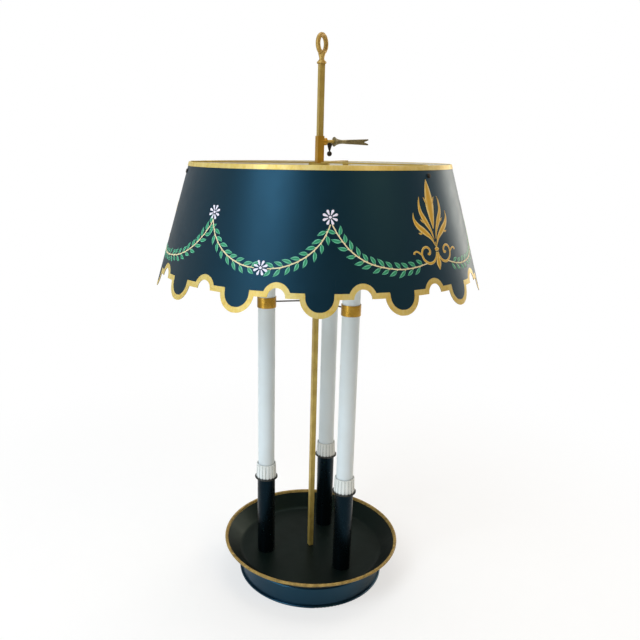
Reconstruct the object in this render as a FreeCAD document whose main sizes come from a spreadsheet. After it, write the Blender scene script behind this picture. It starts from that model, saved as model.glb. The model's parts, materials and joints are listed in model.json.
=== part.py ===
import FreeCAD, Part
import Sketcher
import math
import os

# A three-candle bouillotte lamp: a dish on a weighted foot, three candle
# tubes with lampholders, a square rod, and a scalloped sheet shade that
# slides on the rod and is clamped by a screw with an arrow key.
# Millimetres, +Z up, origin on the table under the rod.

doc = FreeCAD.newDocument("bouillotte_lamp")

SIZES = {
    # foot and dish
    "floor_level": 30.1,
    "sheet": 1.0,
    "foot_radius": 101.4,
    "foot_lip": 1.3,
    "lip_reach": 2.8,
    "skirt_round": 4.0,
    "skirt_flange": 8.0,
    "dish_floor_radius": 99.0,
    "dish_corner": 9.0,
    "dish_rim_radius": 120.4,
    "dish_rim_rise": 19.4,
    "dish_bead": 2.0,
    # foot fillings
    "felt_thickness": 2.0,
    "plate_thickness": 1.2,
    "plate_gap": 0.3,
    "ballast_inset": 17.4,
    "ballast_thickness": 14.0,
    "ballast_well": 13.0,
    "inlet_level": 14.0,
    "inlet_hole": 5.0,
    "inlet_bore": 3.4,
    "inlet_flange": 7.0,
    "inlet_lip": 1.6,
    # rod
    "rod_side": 6.35,
    "rod_turn": 23.0,
    "rod_rise": 646.0,
    "rod_tail": 3.0,
    "rod_tail_length": 23.0,
    "rod_nut_width": 11.0,
    "rod_nut_height": 5.3,
    "rod_washer_radius": 11.0,
    "washer_thickness": 1.2,
    "screw_gap": 0.1,
    # candle tubes
    "candle_circle": 64.4,
    "candle_angle": 70.0,
    "candle_count": 3,
    "cup_radius": 12.15,
    "cup_wall": 0.8,
    "cup_height": 113.3,
    "cup_floor": 2.0,
    "drip_radius": 15.6,
    "drip_thickness": 1.2,
    "collar_height": 20.7,
    "collar_foot_radius": 13.9,
    "collar_top_radius": 13.0,
    "collar_floor": 1.2,
    "collar_gap": 0.5,
    "flute_count": 18,
    "flute_radius": 1.0,
    "flute_depth": 0.65,
    "sleeve_radius": 11.1,
    "sleeve_wall": 0.9,
    "sleeve_length": 299.0,
    "band_height": 13.6,
    "band_wall": 1.1,
    "band_level": 355.0,
    "riser_radius": 4.8,
    "riser_bore": 3.3,
    "riser_tail": 12.0,
    "riser_nut_width": 14.0,
    "riser_nut_height": 4.0,
    "riser_washer_radius": 9.0,
    # lampholders
    "socket_radius": 9.6,
    "socket_length": 38.0,
    "socket_recess": 5.0,
    "socket_thread": 9.0,
    "socket_base": 14.0,
    "shell_radius": 6.0,
    "shell_wall": 0.5,
    "contact_radius": 1.9,
    "contact_thickness": 0.8,
    # brace
    "brace_hub_radius": 8.0,
    "brace_hub_height": 6.0,
    "brace_wire": 0.9,
    "brace_socket": 2.0,
    # finial
    "cap_radius": 5.8,
    "cap_thickness": 2.6,
    "loop_radius": 9.6,
    "loop_wire": 2.75,
    "loop_turn": 58.7,
    "loop_neck_height": 12.2,
    "loop_neck_radius": 3.4,
    "loop_seat_radius": 4.2,
    "finial_stud": 1.6,
    "finial_stud_length": 8.0,
    # shade
    "shade_level": 418.3,
    "shade_height": 145.9,
    "shade_top_radius": 157.2,
    "shade_foot_radius": 201.3,
    "shade_sheet": 0.6,
    "shade_turn": 44.0,
    "scallop_count": 14,
    "scallop_turn": 6.43,
    "step_height": 18.0,
    "lobe_half_width": 20.3,
    "lobe_flat": 0.15,
    "notch_radius": 9.6,
    "rim_band_height": 4.8,
    "rim_band_thickness": 0.5,
    # spider that carries the shade
    "arm_width": 8.0,
    "arm_thickness": 1.6,
    "arm_proud": 1.0,
    "arm_tab": 16.0,
    "arm_gap": 0.2,
    "spider_hub_radius": 13.0,
    "spider_hub_height": 3.0,
    "arm_hole_gap": 0.7,
    "shade_screw_drop": 10.4,
    "shade_screw_radius": 1.5,
    "shade_screw_head": 2.6,
    "shade_screw_head_height": 1.5,
    "shade_nut_width": 5.5,
    "shade_nut_height": 2.2,
    # slider and its key
    "slider_side": 8.3,
    "slider_clearance": 0.08,
    "slider_length": 47.0,
    "slider_rise": 31.0,
    "boss_radius": 4.4,
    "boss_reach": 4.5,
    "key_drop_below_top": 6.5,
    "key_thread": 2.15,
    "key_clearance": 0.05,
    "key_tip_gap": 0.12,
    "bell_reach": 19.0,
    "bell_radius": 5.7,
    "bell_lip": 0.8,
    "bell_length": 11.0,
    "arrow_waist": 2.3,
    "arrow_end_radius": 3.7,
    "arrow_length": 47.2,
    "arrow_thickness": 2.4,
    "arrow_socket": 6.0,
    "tail_notch": 6.0,
    "drop_reach": 13.4,
    "drop_top_radius": 3.2,
    "drop_waist_radius": 0.8,
    "drop_cone": 10.0,
    "drop_ball": 3.1,
    "drop_pin": 1.0,
}

sheet = doc.addObject("Spreadsheet::Sheet", "Sizes")
for row, (alias, number) in enumerate(SIZES.items(), start=1):
    sheet.set("A%d" % row, alias)
    sheet.set("B%d" % row, str(number))
    sheet.setAlias("B%d" % row, alias)
doc.recompute()


class Size:
    """A number with the spreadsheet expression that gives it."""

    def __init__(self, value, text):
        self.value = value
        self.text = text

    def __add__(self, other):
        other = as_size(other)
        return Size(self.value + other.value, "(%s + %s)" % (self.text, other.text))

    def __sub__(self, other):
        other = as_size(other)
        return Size(self.value - other.value, "(%s - %s)" % (self.text, other.text))

    def __mul__(self, other):
        other = as_size(other)
        return Size(self.value * other.value, "(%s * %s)" % (self.text, other.text))

    def __truediv__(self, other):
        other = as_size(other)
        return Size(self.value / other.value, "(%s / %s)" % (self.text, other.text))

    def __radd__(self, other):
        return as_size(other) + self

    def __rsub__(self, other):
        return as_size(other) - self

    def __rmul__(self, other):
        return as_size(other) * self

    def __neg__(self):
        return Size(-self.value, "(0 - %s)" % self.text)


def as_size(number):
    if isinstance(number, Size):
        return number
    return Size(float(number), repr(float(number)))


def size(alias):
    return Size(float(sheet.get(alias)), "Sizes." + alias)


def sine(angle):
    return Size(math.sin(math.radians(angle.value)), "sin(%s)" % angle.text)


def cosine(angle):
    return Size(math.cos(math.radians(angle.value)), "cos(%s)" % angle.text)


def root(number):
    return Size(math.sqrt(number.value), "sqrt(%s)" % number.text)


# Building blocks: a body, a sketch on one of its planes, and the outlines
# that the sketches are made of.

parts = []


def new_body(name):
    body = doc.addObject("PartDesign::Body", name)
    body.Label = name
    parts.append(body)
    return body


def origin_feature(body, role):
    for feature in body.Origin.OriginFeatures:
        if feature.Role == role:
            return feature
    raise ValueError(role)


def new_sketch(body, role, name, lift=None, turn=None):
    sketch = body.newObject("Sketcher::SketchObject", name)
    sketch.AttachmentSupport = [(origin_feature(body, role), "")]
    sketch.MapMode = "FlatFace"
    if turn is not None:
        around_upright = FreeCAD.Rotation(FreeCAD.Vector(0, 1, 0), turn.value)
        sketch.AttachmentOffset = FreeCAD.Placement(FreeCAD.Vector(), around_upright)
    if lift is not None:
        sketch.setExpression("AttachmentOffset.Base.z", lift.text)
    return sketch


def pin_point(sketch, geometry, end, x, y):
    """Tie one point of a sketch to its place; a bare 0 lies on the axis."""
    for kind, axis, where in (("DistanceX", -2, x), ("DistanceY", -1, y)):
        if where is None:
            continue
        if not isinstance(where, Size) and where == 0:
            sketch.addConstraint(Sketcher.Constraint("PointOnObject", geometry, end, axis))
            continue
        where = as_size(where)
        index = sketch.addConstraint(
            Sketcher.Constraint(kind, -1, 1, geometry, end, where.value))
        sketch.setExpression("Constraints[%d]" % index, where.text)


def polygon(sketch, corners):
    """A closed outline of straight lines through the corners."""
    spots = [FreeCAD.Vector(as_size(x).value, as_size(y).value, 0) for x, y in corners]
    lines = []
    for start, end in zip(spots, spots[1:] + spots[:1]):
        lines.append(sketch.addGeometry(Part.LineSegment(start, end)))
    for here, following in zip(lines, lines[1:] + lines[:1]):
        sketch.addConstraint(Sketcher.Constraint("Coincident", here, 2, following, 1))
    for line, (x, y) in zip(lines, corners):
        pin_point(sketch, line, 1, x, y)


def circle(sketch, radius, x=0, y=0):
    radius = as_size(radius)
    centre = FreeCAD.Vector(as_size(x).value, as_size(y).value, 0)
    index = sketch.addGeometry(Part.Circle(centre, FreeCAD.Vector(0, 0, 1), radius.value))
    if isinstance(x, Size) or isinstance(y, Size):
        pin_point(sketch, index, 3, x, y)
    else:
        sketch.addConstraint(Sketcher.Constraint("Coincident", index, 3, -1, 1))
    bound = sketch.addConstraint(Sketcher.Constraint("Radius", index, radius.value))
    sketch.setExpression("Constraints[%d]" % bound, radius.text)


def rectangle(sketch, left, bottom, right, top):
    polygon(sketch, [(left, bottom), (right, bottom), (right, top), (left, top)])


def square(sketch, side):
    half = side / 2
    rectangle(sketch, -half, -half, half, half)


def hexagon(sketch, width):
    """A hexagon of the given width across its flats."""
    reach = width / 2 / cosine(as_size(30))
    corners = []
    for step in range(6):
        angle = as_size(60 * step + 30)
        corners.append((reach * cosine(angle), reach * sine(angle)))
    polygon(sketch, corners)


def revolve(body, corners, name="turned"):
    """A turned piece: its half outline in radius and height, spun about Z."""
    sketch = new_sketch(body, "XZ_Plane", name + "_outline")
    polygon(sketch, corners)
    turned = body.newObject("PartDesign::Revolution", name)
    turned.Profile = sketch
    turned.ReferenceAxis = (sketch, ["V_Axis"])
    turned.Angle = 360
    return turned


def pad(body, draw, length, lift=None, name="pad", role="XY_Plane", midplane=False):
    sketch = new_sketch(body, role, name + "_outline", lift)
    draw(sketch)
    solid = body.newObject("PartDesign::Pad", name)
    solid.Profile = sketch
    solid.setExpression("Length", length.text)
    solid.Midplane = midplane
    return solid


def pocket(body, draw, role, name, reverse=False, midplane=False, lift=None, turn=None, depth=None):
    """A cut through all, or to a depth; it has to take something away."""
    doc.recompute()
    before = body.Shape.Volume
    sketch = new_sketch(body, role, name + "_outline", lift, turn)
    draw(sketch)
    cut = body.newObject("PartDesign::Pocket", name)
    cut.Profile = sketch
    if depth is None:
        cut.Type = "ThroughAll"
    else:
        cut.setExpression("Length", depth.text)
    cut.Midplane = midplane
    cut.Reversed = reverse
    doc.recompute()
    if not body.Shape.Volume < before:
        raise RuntimeError("%s cuts nothing from %s" % (name, body.Label))
    return cut


def round_pattern(body, original, count, name):
    pattern = body.newObject("PartDesign::PolarPattern", name)
    pattern.Originals = [original]
    pattern.Axis = (origin_feature(body, "Z_Axis"), [""])
    pattern.Angle = 360
    pattern.setExpression("Occurrences", count.text)
    body.Tip = pattern
    return pattern


def ring_edges(shape, radius, low, high):
    """Names of the round edges about Z with this radius between two heights."""
    names = []
    for number, edge in enumerate(shape.Edges, start=1):
        curve = edge.Curve
        if not isinstance(curve, Part.Circle):
            continue
        near = abs(curve.Radius - radius) < 0.01
        if near and low <= edge.CenterOfMass.z <= high:
            names.append("Edge%d" % number)
    return names


def fillet(body, base, edges, radius, name):
    rounded = body.newObject("PartDesign::Fillet", name)
    rounded.Base = (base, edges)
    rounded.setExpression("Radius", radius.text)
    return rounded


def tube(name, inner, outer, low, high):
    body = new_body(name)
    revolve(body, [(inner, low), (outer, low), (outer, high), (inner, high)])
    return body


def place(part, x=0, y=0, z=0, rotation=None):
    """Put a piece in its place; the lengths follow the spreadsheet."""
    part.Placement = FreeCAD.Placement(
        FreeCAD.Vector(as_size(x).value, as_size(y).value, as_size(z).value),
        rotation or FreeCAD.Rotation())
    for axis, where in (("x", x), ("y", y), ("z", z)):
        if isinstance(where, Size):
            part.setExpression("Placement.Base." + axis, where.text)


def about_z(angle):
    return FreeCAD.Rotation(FreeCAD.Vector(0, 0, 1), as_size(angle).value)


def about_y(angle):
    return FreeCAD.Rotation(FreeCAD.Vector(0, 1, 0), as_size(angle).value)


# Shared places and sizes.

floor_level = size("floor_level")
sheet_metal = size("sheet")
screw_gap = size("screw_gap")
washer = size("washer_thickness")
candle_circle = size("candle_circle")
candle_count = int(SIZES["candle_count"])
rod_turn = size("rod_turn")
rod_side = size("rod_side")


def candle_angle(index):
    return size("candle_angle") + as_size(360) / size("candle_count") * index


def stand_on_candle(part, index):
    angle = candle_angle(index)
    place(part, candle_circle * cosine(angle), candle_circle * sine(angle),
          floor_level, about_z(angle))


# Foot: a spun skirt with a rolled lip, its weight, plate, felt and inlet.

def make_foot():
    skirt = new_body("foot_skirt")
    outer = size("foot_radius") - size("lip_reach")
    inner = outer - sheet_metal
    top = floor_level - sheet_metal
    lip = size("foot_lip")
    flange = inner - size("skirt_flange")
    wall = revolve(skirt, [
        (inner, lip), (outer, lip), (outer, top), (flange, top),
        (flange, top - sheet_metal), (inner, top - sheet_metal)], "wall")
    doc.recompute()
    shoulder = ring_edges(skirt.Shape, outer.value, top.value - 0.01, top.value + 0.01)
    fillet(skirt, wall, shoulder, size("skirt_round"), "shoulder")
    lip_ring = new_sketch(skirt, "XZ_Plane", "lip_outline")
    rectangle(lip_ring, inner, as_size(0), size("foot_radius"), lip * 2)
    rolled = skirt.newObject("PartDesign::Revolution", "lip")
    rolled.Profile = lip_ring
    rolled.ReferenceAxis = (lip_ring, ["V_Axis"])
    doc.recompute()
    foot_radius = size("foot_radius").value
    edges = ring_edges(skirt.Shape, foot_radius, -0.01, 2 * lip.value + 0.01)
    fillet(skirt, rolled, edges, lip * 0.96, "lip_round")
    pocket(skirt, lambda sketch: circle(sketch, size("inlet_hole"), 0, size("inlet_level")),
           "XZ_Plane", "inlet_hole_cut")

    plate_radius = inner - size("plate_gap")
    felt = size("felt_thickness")
    tube("base_felt", 0, plate_radius, 0, felt)
    tube("base_plate", 0, plate_radius, felt, felt + size("plate_thickness"))

    ballast = new_body("ballast")
    ballast_bottom = floor_level - sheet_metal - size("ballast_thickness")
    pad(ballast, lambda sketch: (
        circle(sketch, size("foot_radius") - size("ballast_inset")),
        circle(sketch, size("rod_tail") + screw_gap)),
        size("ballast_thickness"), ballast_bottom)
    angle = candle_angle(0)
    well = pocket(ballast, lambda sketch: circle(
        sketch, size("ballast_well"), candle_circle * cosine(angle), candle_circle * sine(angle)),
        "XY_Plane", "well", reverse=True)
    round_pattern(ballast, well, size("candle_count"), "wells")

    grommet = new_body("inlet_grommet")
    bore = size("inlet_bore")
    neck = size("inlet_hole") - 0.1
    flange = size("inlet_flange")
    lip_depth = size("inlet_lip")
    sag = flange * flange / inner / 2 + 0.05
    revolve(grommet, [
        (bore, inner - sag - lip_depth), (flange, inner - sag - lip_depth),
        (flange, inner - sag), (neck, inner - sag),
        (neck, outer + 0.02), (flange, outer + 0.02),
        (flange - 0.8, outer + lip_depth), (bore, outer + lip_depth)])
    towards_back = FreeCAD.Rotation(FreeCAD.Vector(1, 0, 0), -90)
    place(grommet, 0, 0, size("inlet_level"), towards_back)


# Dish: a flat floor, a flared wall and a rolled rim in one spun sheet.

def make_dish():
    dish = new_body("dish")
    corner = size("dish_floor_radius")
    rim = size("dish_rim_radius")
    rise = size("dish_rim_rise")
    hole = size("rod_tail") + screw_gap
    slope = root(rise * rise + (rim - corner) * (rim - corner))
    across = sheet_metal * slope / rise
    wall = revolve(dish, [
        (hole, -sheet_metal), (corner + across * 0.55, -sheet_metal), (rim + across * 0.5, rise),
        (rim - across * 0.5, rise), (corner, 0), (hole, 0)], "wall")
    doc.recompute()
    inside = ring_edges(dish.Shape, corner.value, -0.01, 0.01)
    corner_round = size("dish_corner")
    inner_round = fillet(dish, wall, inside, corner_round, "inside_round")
    doc.recompute()
    under = ring_edges(dish.Shape, (corner + across * 0.55).value,
                       -sheet_metal.value - 0.01, -sheet_metal.value + 0.01)
    fillet(dish, inner_round, under, corner_round + sheet_metal, "outside_round")
    bead = new_sketch(dish, "XZ_Plane", "bead_outline")
    circle(bead, size("dish_bead"), rim, rise)
    rolled = dish.newObject("PartDesign::Revolution", "bead")
    rolled.Profile = bead
    rolled.ReferenceAxis = (bead, ["V_Axis"])
    angle = candle_angle(0)
    cut = pocket(dish, lambda sketch: circle(
        sketch, size("riser_radius") + screw_gap,
        candle_circle * cosine(angle), candle_circle * sine(angle)),
        "XY_Plane", "riser_hole")
    round_pattern(dish, cut, size("candle_count"), "riser_holes")
    place(dish, 0, 0, floor_level)


# Rod: a square bar with a round tail through dish and weight, and its fixings.

def make_rod():
    rod = new_body("rod")
    pad(rod, lambda sketch: square(sketch, rod_side), size("rod_rise"), name="bar")
    tail = pad(rod, lambda sketch: circle(sketch, size("rod_tail")),
               size("rod_tail_length"), name="tail")
    tail.Reversed = True
    pocket(rod, lambda sketch: circle(sketch, size("finial_stud") + 0.05),
           "XY_Plane", "finial_hole", lift=size("rod_rise"), depth=size("finial_stud_length") + 1)
    place(rod, 0, 0, floor_level, about_z(rod_turn))

    under_ballast = floor_level - sheet_metal - size("ballast_thickness")
    tail_hole = size("rod_tail") + screw_gap
    tube("rod_washer", tail_hole, size("rod_washer_radius"), under_ballast - washer, under_ballast)
    nut = new_body("rod_nut")
    pad(nut, lambda sketch: (
        hexagon(sketch, size("rod_nut_width")), circle(sketch, size("rod_tail") + screw_gap / 2)),
        size("rod_nut_height"), under_ballast - washer - size("rod_nut_height"))


# Candle: cup, drip ring, fluted collar, sleeve, band and the fixings inside.

def make_collar(index):
    collar = new_body("candle_collar_%d" % (index + 1))
    low = size("cup_height") + size("drip_thickness")
    high = low + size("collar_height")
    bore = size("sleeve_radius") + size("collar_gap")
    floor_top = low + size("collar_floor")
    foot = size("collar_foot_radius")
    top = size("collar_top_radius")
    hole = size("riser_radius") + screw_gap
    revolve(collar, [
        (hole, low), (foot, low), (top, high), (bore, high), (bore, floor_top), (hole, floor_top)])
    out = size("flute_radius") - size("flute_depth")
    lower = new_sketch(collar, "XY_Plane", "flute_foot", low - 0.5)
    circle(lower, size("flute_radius"), foot + out, 0)
    upper = new_sketch(collar, "XY_Plane", "flute_top", high + 0.5)
    circle(upper, size("flute_radius"), top + out, 0)
    flute = collar.newObject("PartDesign::SubtractiveLoft", "flute")
    flute.Profile = lower
    flute.Sections = [upper]
    flute.Ruled = True
    round_pattern(collar, flute, size("flute_count"), "flutes")
    return collar


def make_candle(index):
    number = index + 1
    gap = screw_gap
    riser = size("riser_radius")
    cup_top = size("cup_height")
    cup = new_body("candle_cup_%d" % number)
    inside = size("cup_radius") - size("cup_wall")
    revolve(cup, [
        (riser + gap, 0), (size("cup_radius"), 0), (size("cup_radius"), cup_top), (inside, cup_top),
        (inside, size("cup_floor")), (riser + gap, size("cup_floor"))])

    drip_top = cup_top + size("drip_thickness")
    drip = new_body("drip_ring_%d" % number)
    edge = size("drip_radius")
    curl = size("drip_thickness")
    revolve(drip, [
        (riser + gap, cup_top), (edge - curl, cup_top), (edge, cup_top + curl * 0.6),
        (edge, drip_top + curl * 0.6), (edge - curl * 0.7, drip_top + curl * 0.6),
        (edge - curl * 1.2, drip_top), (riser + gap, drip_top)])

    collar = make_collar(index)
    sleeve_bottom = drip_top + size("collar_floor")
    sleeve_top = sleeve_bottom + size("sleeve_length")
    sleeve_inside = size("sleeve_radius") - size("sleeve_wall")
    sleeve = tube("candle_sleeve_%d" % number, sleeve_inside, size("sleeve_radius"),
                  sleeve_bottom, sleeve_top)
    band_level = size("band_level")
    band_inside = size("sleeve_radius") + 0.05
    band = tube("sleeve_band_%d" % number, band_inside, band_inside + size("band_wall"),
                band_level, band_level + size("band_height"))

    socket_top = sleeve_top - size("socket_recess")
    socket_bottom = socket_top - size("socket_length")
    thread_top = socket_bottom + size("socket_thread")
    pipe = tube("riser_%d" % number, size("riser_bore"), riser, -size("riser_tail"), thread_top)

    shell = size("shell_radius")
    shell_outside = shell + size("shell_wall")
    seat = socket_bottom + size("socket_base")
    socket = new_body("lampholder_%d" % number)
    wire_way = size("contact_radius") + 0.05
    revolve(socket, [
        (riser + 0.05, socket_bottom), (size("socket_radius") - 1.5, socket_bottom),
        (size("socket_radius"), socket_bottom + 1.5), (size("socket_radius"), socket_top),
        (shell_outside + 0.05, socket_top), (shell_outside + 0.05, seat), (wire_way, seat),
        (wire_way, thread_top + 0.1), (riser + 0.05, thread_top + 0.1)])
    screw_shell = tube("screw_shell_%d" % number, shell, shell_outside, seat, socket_top - 0.3)
    contact = tube("centre_contact_%d" % number, 0, size("contact_radius"),
                   seat - size("contact_thickness"), seat)
    for piece in (cup, drip, collar, sleeve, band, pipe, socket, screw_shell, contact):
        stand_on_candle(piece, index)


def make_riser_fixings():
    """The washers and locknuts under the dish, each kind in one piece list."""
    low = floor_level - sheet_metal - washer
    washers = []
    nuts = []
    hole = size("riser_radius") + screw_gap
    nut_height = size("riser_nut_height")
    for index in range(candle_count):
        angle = candle_angle(index)
        x = candle_circle * cosine(angle)
        y = candle_circle * sine(angle)
        spot = FreeCAD.Vector(x.value, y.value, low.value)
        disc = Part.makeCylinder(size("riser_washer_radius").value, washer.value, spot)
        washers.append(disc.cut(Part.makeCylinder(hole.value, washer.value, spot)))
        reach = size("riser_nut_width").value / 2 / math.cos(math.radians(30))
        corners = [FreeCAD.Vector(
            reach * math.cos(math.radians(60 * step)), reach * math.sin(math.radians(60 * step)), 0)
            for step in range(7)]
        block = Part.Face(Part.makePolygon(corners)).extrude(FreeCAD.Vector(0, 0, nut_height.value))
        block = block.cut(Part.makeCylinder(hole.value - 0.05, nut_height.value))
        block.translate(spot - FreeCAD.Vector(0, 0, nut_height.value))
        nuts.append(block)
    for name, solids in (("riser_washers", washers), ("riser_nuts", nuts)):
        group = doc.addObject("Part::Feature", name)
        group.Label = name
        group.Shape = Part.makeCompound(solids)
        parts.append(group)


# Brace: a hub on the rod and a wire to each band.

def make_brace():
    half = size("brace_hub_height") / 2
    middle = floor_level + size("band_level") + size("band_height") / 2
    radius = size("brace_hub_radius")
    wire = size("brace_wire")
    depth = size("brace_socket")
    hub = new_body("brace_hub")
    pad(hub, lambda sketch: (circle(sketch, radius), square(sketch, rod_side + 0.1)),
        half * 2, -half)
    for index in range(candle_count):
        turn = candle_angle(index) - rod_turn + 90
        pocket(hub, lambda sketch: circle(sketch, wire + 0.05), "XZ_Plane",
               "wire_socket_%d" % (index + 1), reverse=True, turn=turn)
    place(hub, 0, 0, middle, about_z(rod_turn))
    band_outside = size("sleeve_radius") + 0.05 + size("band_wall")
    for index in range(candle_count):
        arm = new_body("brace_arm_%d" % (index + 1))
        start = radius - depth
        end = candle_circle - band_outside - 0.05
        pad(arm, lambda sketch: circle(sketch, wire), end - start, start)
        upright = FreeCAD.Rotation(about_z(candle_angle(index)).multiply(about_y(90)))
        place(arm, 0, 0, middle, upright)


# Finial: a cap washer and a carrying loop with a stud into the rod.

def make_finial():
    rod_top = floor_level + size("rod_rise")
    stud = size("finial_stud")
    cap_top = rod_top + size("cap_thickness")
    cap = new_body("finial_cap")
    edge = size("cap_radius")
    revolve(cap, [
        (stud + 0.1, rod_top), (edge - 0.6, rod_top), (edge, rod_top + 0.8),
        (edge - 0.4, cap_top - 0.3), (edge - 1.6, cap_top), (stud + 0.1, cap_top)])

    neck = size("loop_neck_radius")
    seat = size("loop_seat_radius")
    wire = size("loop_wire")
    centre = cap_top + size("loop_neck_height") + size("loop_radius") - wire
    shank = doc.addObject("PartDesign::Body", "loop_shank")
    loop_bottom = centre - size("loop_radius")
    revolve(shank, [
        (0, rod_top - size("finial_stud_length")), (stud, rod_top - size("finial_stud_length")),
        (stud, cap_top), (seat, cap_top), (seat * 0.95, cap_top + 1.0), (neck * 0.86, cap_top + 2.2),
        (neck * 0.9, cap_top + 3.6), (neck * 1.3, loop_bottom - wire * 0.2),
        (neck * 1.25, loop_bottom + wire * 0.5), (0, loop_bottom + wire * 0.9)])
    loop = doc.addObject("Part::Torus", "loop")
    loop.setExpression("Radius1", size("loop_radius").text)
    loop.setExpression("Radius2", wire.text)
    on_edge = FreeCAD.Rotation(FreeCAD.Vector(1, 0, 0), 90)
    place(loop, 0, 0, centre, about_z(size("loop_turn")).multiply(on_edge))
    finial = doc.addObject("Part::Fuse", "finial_loop")
    finial.Base = shank
    finial.Tool = loop
    finial.Refine = True
    finial.Label = "finial_loop"
    parts.append(finial)


# Shade: a cone of sheet with a scalloped lower edge and a gilt band on top.
# Its own frame starts at the level of the lowest points of the scallops.

shade_level = size("shade_level")
shade_height = size("shade_height")
shade_top = size("shade_top_radius")
shade_foot = size("shade_foot_radius")
shade_slope = (shade_foot - shade_top) / shade_height
shade_lean = math.degrees(math.atan(shade_slope.value))
shade_sheet = size("shade_sheet")
shade_turn = size("shade_turn")
arm_count = 3
screw_level = shade_height - size("shade_screw_drop")


def shade_outside(level):
    """Outer radius of the shade at a height above its lower edge."""
    return shade_foot - shade_slope * level


def scallop_waste(sketch):
    """What is cut away between two lobes: two quarter rounds, two steps and a notch."""
    half_pitch = as_size(180) / size("scallop_count")
    tip = shade_outside(as_size(0)) * sine(half_pitch)
    step = size("step_height")
    half = size("lobe_half_width")
    sunk = size("lobe_flat")
    depth = step + sunk
    radius = (half * half + depth * depth) / depth / 2
    centre_height = radius - sunk
    chord = root(radius * radius - centre_height * centre_height)
    notch = size("notch_radius")
    below = as_size(5)
    spots = {
        "left_foot": (chord - tip, -below), "left_tip": (chord - tip, 0),
        "left_step": (half - tip, step), "notch_left": (-notch, step),
        "notch_right": (notch, step), "right_step": (tip - half, step),
        "right_tip": (tip - chord, 0), "right_foot": (tip - chord, -below)}

    def vector(name):
        x, y = spots[name]
        return FreeCAD.Vector(as_size(x).value, as_size(y).value, 0)

    def line(start, end):
        return sketch.addGeometry(Part.LineSegment(vector(start), vector(end)))

    def arc(start, end, x, y, curve_radius):
        centre = FreeCAD.Vector(as_size(x).value, as_size(y).value, 0)
        round_line = Part.Circle(centre, FreeCAD.Vector(0, 0, 1), curve_radius.value)
        first = math.atan2(vector(start).y - centre.y, vector(start).x - centre.x)
        last = math.atan2(vector(end).y - centre.y, vector(end).x - centre.x)
        index = sketch.addGeometry(Part.ArcOfCircle(round_line, first, last))
        bound = sketch.addConstraint(Sketcher.Constraint("Radius", index, curve_radius.value))
        sketch.setExpression("Constraints[%d]" % bound, curve_radius.text)
        return index

    def meet(first, first_end, second, second_end):
        sketch.addConstraint(
            Sketcher.Constraint("Coincident", first, first_end, second, second_end))

    left_drop = line("left_foot", "left_tip")
    left_lobe = arc("left_tip", "left_step", -tip, centre_height, radius)
    left_flat = line("left_step", "notch_left")
    notch_arc = arc("notch_right", "notch_left", 0, step, notch)
    right_flat = line("notch_right", "right_step")
    right_lobe = arc("right_step", "right_tip", tip, centre_height, radius)
    right_drop = line("right_tip", "right_foot")
    base = line("right_foot", "left_foot")
    meet(left_drop, 2, left_lobe, 1)
    meet(left_lobe, 2, left_flat, 1)
    meet(left_flat, 2, notch_arc, 2)
    meet(notch_arc, 1, right_flat, 1)
    meet(right_flat, 2, right_lobe, 1)
    meet(right_lobe, 2, right_drop, 1)
    meet(right_drop, 2, base, 1)
    meet(base, 2, left_drop, 1)
    pin_point(sketch, left_drop, 1, *spots["left_foot"])
    pin_point(sketch, left_drop, 2, *spots["left_tip"])
    pin_point(sketch, left_flat, 1, *spots["left_step"])
    pin_point(sketch, notch_arc, 3, 0, step)
    pin_point(sketch, left_flat, 2, None, step)
    pin_point(sketch, right_flat, 1, None, step)
    pin_point(sketch, right_flat, 2, *spots["right_step"])
    pin_point(sketch, right_drop, 1, *spots["right_tip"])
    pin_point(sketch, right_drop, 2, *spots["right_foot"])


def make_shade():
    shade = new_body("shade_wall")
    cap = size("rim_band_thickness")
    top = shade_height - cap
    across = shade_sheet * root(1 + shade_slope * shade_slope)
    revolve(shade, [
        (shade_foot - across, 0), (shade_foot, 0),
        (shade_outside(top), top), (shade_outside(top) - across, top)], "cone")
    notch = pocket(shade, scallop_waste, "XZ_Plane", "scallop", reverse=True,
                   turn=-size("scallop_turn"))
    round_pattern(shade, notch, size("scallop_count"), "scallops")
    hole = pocket(shade, lambda sketch: circle(
        sketch, size("shade_screw_radius") + 0.3, 0, screw_level),
        "XZ_Plane", "screw_hole", reverse=True)
    round_pattern(shade, hole, as_size(arm_count), "screw_holes")
    place(shade, 0, 0, shade_level, about_z(shade_turn))

    band = new_body("shade_rim_band")
    thickness = size("rim_band_thickness")
    low = shade_height - size("rim_band_height")
    inside_top = shade_outside(top) - across
    revolve(band, [
        (shade_outside(low) + 0.02, low), (shade_outside(low) + thickness, low),
        (shade_outside(top) + thickness, top + thickness * 0.4),
        (shade_outside(top) + thickness * 0.4, shade_height),
        (inside_top, shade_height), (inside_top, top + 0.01), (shade_outside(top) + 0.02, top + 0.01)])
    place(band, 0, 0, shade_level)


# Spider: a hub on the slider and three strips bent down inside the shade.

def arm_turn(index):
    return shade_turn + 360 / arm_count * index - 90


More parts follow.
